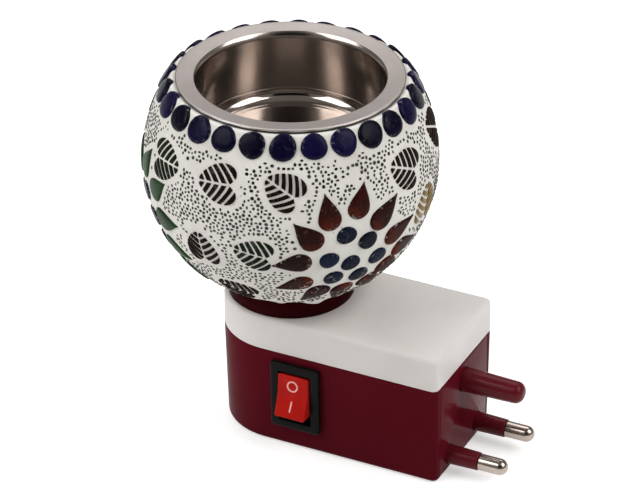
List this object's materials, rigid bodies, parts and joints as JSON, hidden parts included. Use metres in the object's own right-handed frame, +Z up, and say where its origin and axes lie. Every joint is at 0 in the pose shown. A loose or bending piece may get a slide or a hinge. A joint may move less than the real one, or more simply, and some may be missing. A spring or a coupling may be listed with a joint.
{
  "type": "electric camphor burner",
  "caption": "Plug-in camphor burner: a steel cup over a lamp in a round mosaic glass globe, on a plug base with a rocker switch and round pins.",
  "frame": {"origin": "on the globe's axis, on the underside of the base", "axes": "+Z up along the globe's axis, +X the way that the pins go into the socket, -Y the front with the switch"},
  "size_m": [0.1154, 0.085, 0.1104],
  "materials": {
    "maroon_plastic": "gloss",
    "white_plastic": "satin",
    "black_plastic": "satin",
    "red_plastic": "gloss",
    "nickel": "polished",
    "polished_steel": "polished",
    "brass": "satin",
    "plaster": "matt plaster set with glass pieces",
    "clear_glass": "clear",
    "brown_resin": "satin",
    "wire_sheath": "satin"
  },
  "bodies": {
    "base": {"base_case": "maroon_plastic", "lid": "white_plastic", "pin_plate": "maroon_plastic", "pin_retainer": "black_plastic", "line_pin": "nickel", "neutral_pin": "nickel", "line_pin_sleeve": "maroon_plastic", "neutral_pin_sleeve": "maroon_plastic", "earth_pin": "maroon_plastic", "collar": "maroon_plastic", "glass_bowl": "clear_glass", "mosaic_coat": "plaster", "lamp_plate": "brown_resin", "lamp_shell": "brass", "lamp_contact": "brass", "bulb_tip": "polished_steel", "bulb_insulator": "black_plastic", "bulb_cap": "brass", "bulb_glass": "clear_glass", "bulb_stem": "clear_glass", "bulb_filament": "polished_steel", "line_wire": "wire_sheath", "switched_wire": "wire_sheath", "neutral_wire": "wire_sheath", "switch_housing": "black_plastic", "common_terminal": "brass", "lamp_terminal": "brass", "case_screw_1": "polished_steel", "case_screw_2": "polished_steel", "case_screw_3": "polished_steel", "collar_screw_1": "polished_steel", "collar_screw_2": "polished_steel", "collar_screw_3": "polished_steel", "lamp_screw_1": "polished_steel", "lamp_screw_2": "polished_steel", "retainer_screw_1": "polished_steel", "retainer_screw_2": "polished_steel"},
    "rocker": {"rocker": "red_plastic", "plunger": "brass", "plunger_spring": "polished_steel"},
    "contact": {"contact_lever": "brass"},
    "cup": {"cup": "polished_steel"}
  },
  "joints": [
    {"name": "rocker_tip", "type": "hinge", "parent": "base", "child": "rocker", "pos_m": [0.011, -0.01638, 0.01808], "axis": [1, 0, 0], "range_deg": [0, 28]},
    {"name": "contact_tip", "type": "hinge", "parent": "base", "child": "contact", "pos_m": [0.011, -0.00849, 0.01834], "axis": [1, 0, 0], "range_deg": [-20, 0]},
    {"name": "cup_lift", "type": "slide", "parent": "base", "child": "cup", "axis": [0, 0, 1], "range_m": [0, 0.045]}
  ],
  "couplings": [
    {"joint": "contact_tip", "follows": "rocker_tip", "ratio": -0.714}
  ]
}
